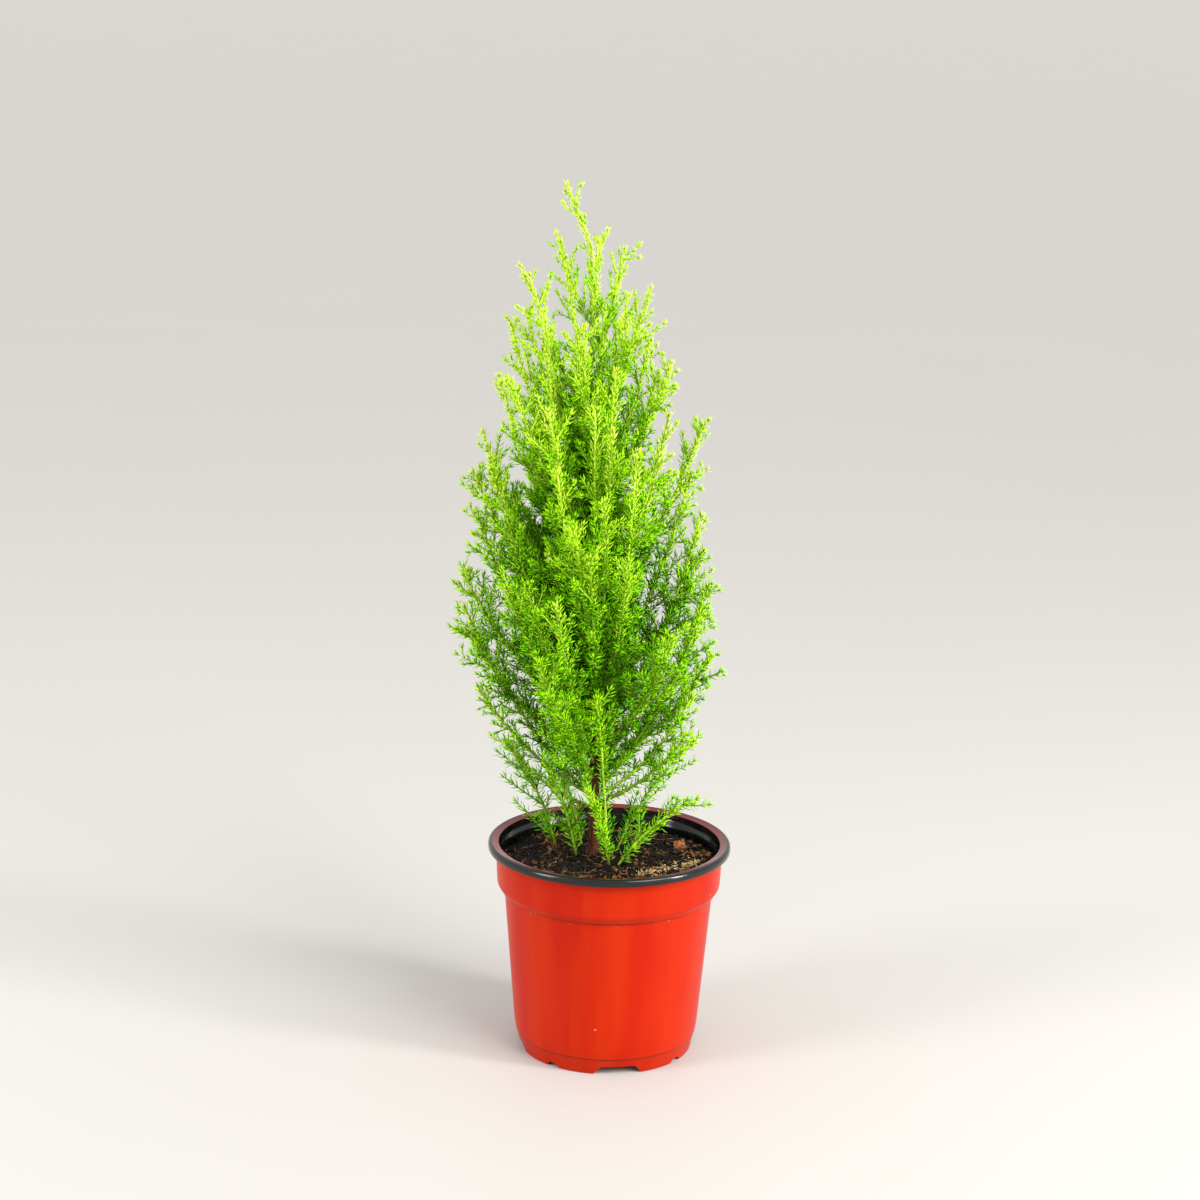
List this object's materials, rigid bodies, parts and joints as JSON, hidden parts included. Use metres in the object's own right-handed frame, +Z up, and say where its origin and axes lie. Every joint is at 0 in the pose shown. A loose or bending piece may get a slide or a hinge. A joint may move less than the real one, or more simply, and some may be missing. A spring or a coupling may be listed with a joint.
{
  "type": "potted lemon cypress",
  "caption": "Young lemon cypress with feathery lime-green foliage, a slim leaning trunk and low side shoots, growing in compost in a round tapering glossy red nursery pot with a black rim.",
  "frame": {"origin": "centre of the flat underside of the pot, on the surface that the pot stands on", "axes": "+Z up along the pot's axis, -Y towards the viewer of the picture, +X to the picture's right"},
  "size_m": [0.1568, 0.1387, 0.4669],
  "materials": {
    "pot_red": "glossy orange-red moulded plastic, slightly rippled",
    "pot_black": "glossy black plastic of the rim and the inside",
    "compost": "dark crumbly peat-based compost with fibres and crumbs",
    "bark": "thin flaking reddish-brown bark",
    "bough_bark": "smooth young bark, brown at the root and greener outwards",
    "green_twig": "soft yellow-green young stems",
    "needles": "soft matte needles, lime-yellow at the tips and darker green inside the crown"
  },
  "bodies": {
    "root": {"bough_01": "bough_bark", "bough_02": "bough_bark", "bough_03": "bough_bark", "bough_04": "bough_bark", "bough_05": "bough_bark", "bough_06": "bough_bark", "bough_07": "bough_bark", "bough_08": "bough_bark", "bough_09": "bough_bark", "bough_10": "bough_bark", "bough_11": "bough_bark", "bough_12": "bough_bark", "bough_13": "bough_bark", "bough_14": "bough_bark", "bough_15": "bough_bark", "bough_16": "bough_bark", "mass_crown_01": "needles", "mass_crown_02": "needles", "mass_crown_03": "needles", "mass_crown_04": "needles", "mass_crown_05": "needles", "mass_crown_06": "needles", "mass_crown_07": "needles", "mass_crown_08": "needles", "mass_crown_09": "needles", "mass_crown_10": "needles", "mass_crown_11": "needles", "mass_crown_12": "needles", "mass_crown_13": "needles", "mass_crown_14": "needles", "mass_crown_15": "needles", "mass_crown_16": "needles", "mass_crown_17": "needles", "mass_crown_18": "needles", "mass_crown_19": "needles", "mass_front": "needles", "mass_leader": "needles", "mass_left_a": "needles", "mass_left_b": "needles", "mass_left_c": "needles", "mass_left_d": "needles", "mass_left_mid": "needles", "mass_left_out": "needles", "mass_low_centre": "needles", "mass_low_front": "needles", "mass_low_left": "needles", "mass_low_left_back": "needles", "mass_low_left_front": "needles", "mass_low_right": "needles", "mass_low_right_back": "needles", "mass_right_a": "needles", "mass_right_b": "needles", "mass_right_c": "needles", "mass_right_d": "needles", "mass_right_e": "needles", "mass_right_mid": "needles", "mass_right_out": "needles", "pot": "pot_red", "soil": "compost", "trunk": "bark"}
  },
  "joints": []
}
